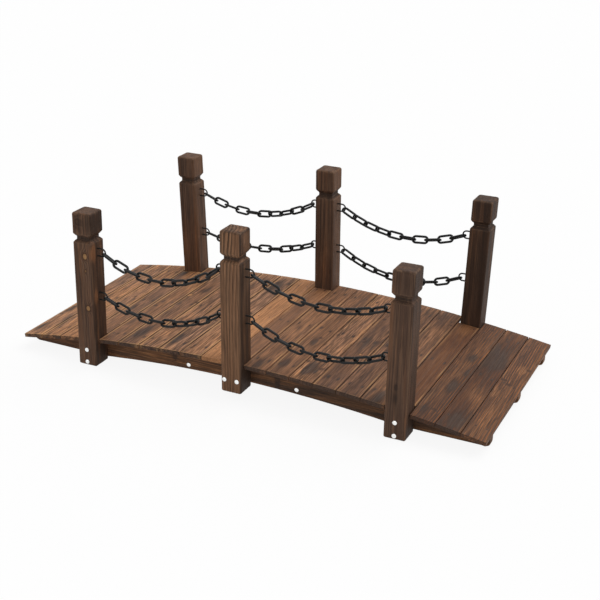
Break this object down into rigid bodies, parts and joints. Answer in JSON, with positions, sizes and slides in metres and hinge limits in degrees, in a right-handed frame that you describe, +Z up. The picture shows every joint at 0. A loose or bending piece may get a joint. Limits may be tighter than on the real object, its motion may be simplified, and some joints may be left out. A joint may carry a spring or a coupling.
{
  "type": "garden footbridge",
  "caption": "Low arched timber garden footbridge: cross boards on beams, square posts with notched caps, and sagging chain rails hung from wire staples.",
  "frame": {"origin": "on the ground under the middle of the bridge, at the level of the outer posts' feet", "axes": "+X along the bridge, +Y across it, +Z up"},
  "size_m": [1.4982, 0.6794, 0.512],
  "materials": {
    "post_wood": "scorched and stained softwood, open grain",
    "beam_wood": "scorched and stained softwood, open grain",
    "deck_wood": "scorched and brushed softwood with dark and pale streaks",
    "chain_steel": "black coating, satin",
    "staple_steel": "black coating, satin"
  },
  "bodies": {
    "root": {"post_near_left": "post_wood", "post_near_middle": "post_wood", "post_near_right": "post_wood", "post_far_left": "post_wood", "post_far_middle": "post_wood", "post_far_right": "post_wood", "beam_near_left": "beam_wood", "beam_near_right": "beam_wood", "beam_middle_left": "beam_wood", "beam_middle_right": "beam_wood", "beam_far_left": "beam_wood", "beam_far_right": "beam_wood", "splice_near": "beam_wood", "splice_middle": "beam_wood", "splice_far": "beam_wood", "deck_board_1": "deck_wood", "deck_board_2": "deck_wood", "deck_board_3": "deck_wood", "deck_board_4": "deck_wood", "deck_board_5": "deck_wood", "deck_board_6": "deck_wood", "deck_board_7": "deck_wood", "deck_board_8": "deck_wood", "deck_board_9": "deck_wood", "deck_board_10": "deck_wood", "deck_board_11": "deck_wood", "deck_board_12": "deck_wood", "deck_board_13": "deck_wood", "deck_board_14": "deck_wood", "deck_board_15": "deck_wood", "deck_board_16": "deck_wood", "deck_board_17": "deck_wood", "deck_board_18": "deck_wood", "deck_board_19": "deck_wood", "deck_board_20": "deck_wood", "deck_board_21": "deck_wood", "chain_near_left_upper": "chain_steel", "chain_near_left_lower": "chain_steel", "chain_near_right_upper": "chain_steel", "chain_near_right_lower": "chain_steel", "chain_far_left_upper": "chain_steel", "chain_far_left_lower": "chain_steel", "chain_far_right_upper": "chain_steel", "chain_far_right_lower": "chain_steel", "staples": "staple_steel"}
  },
  "joints": []
}
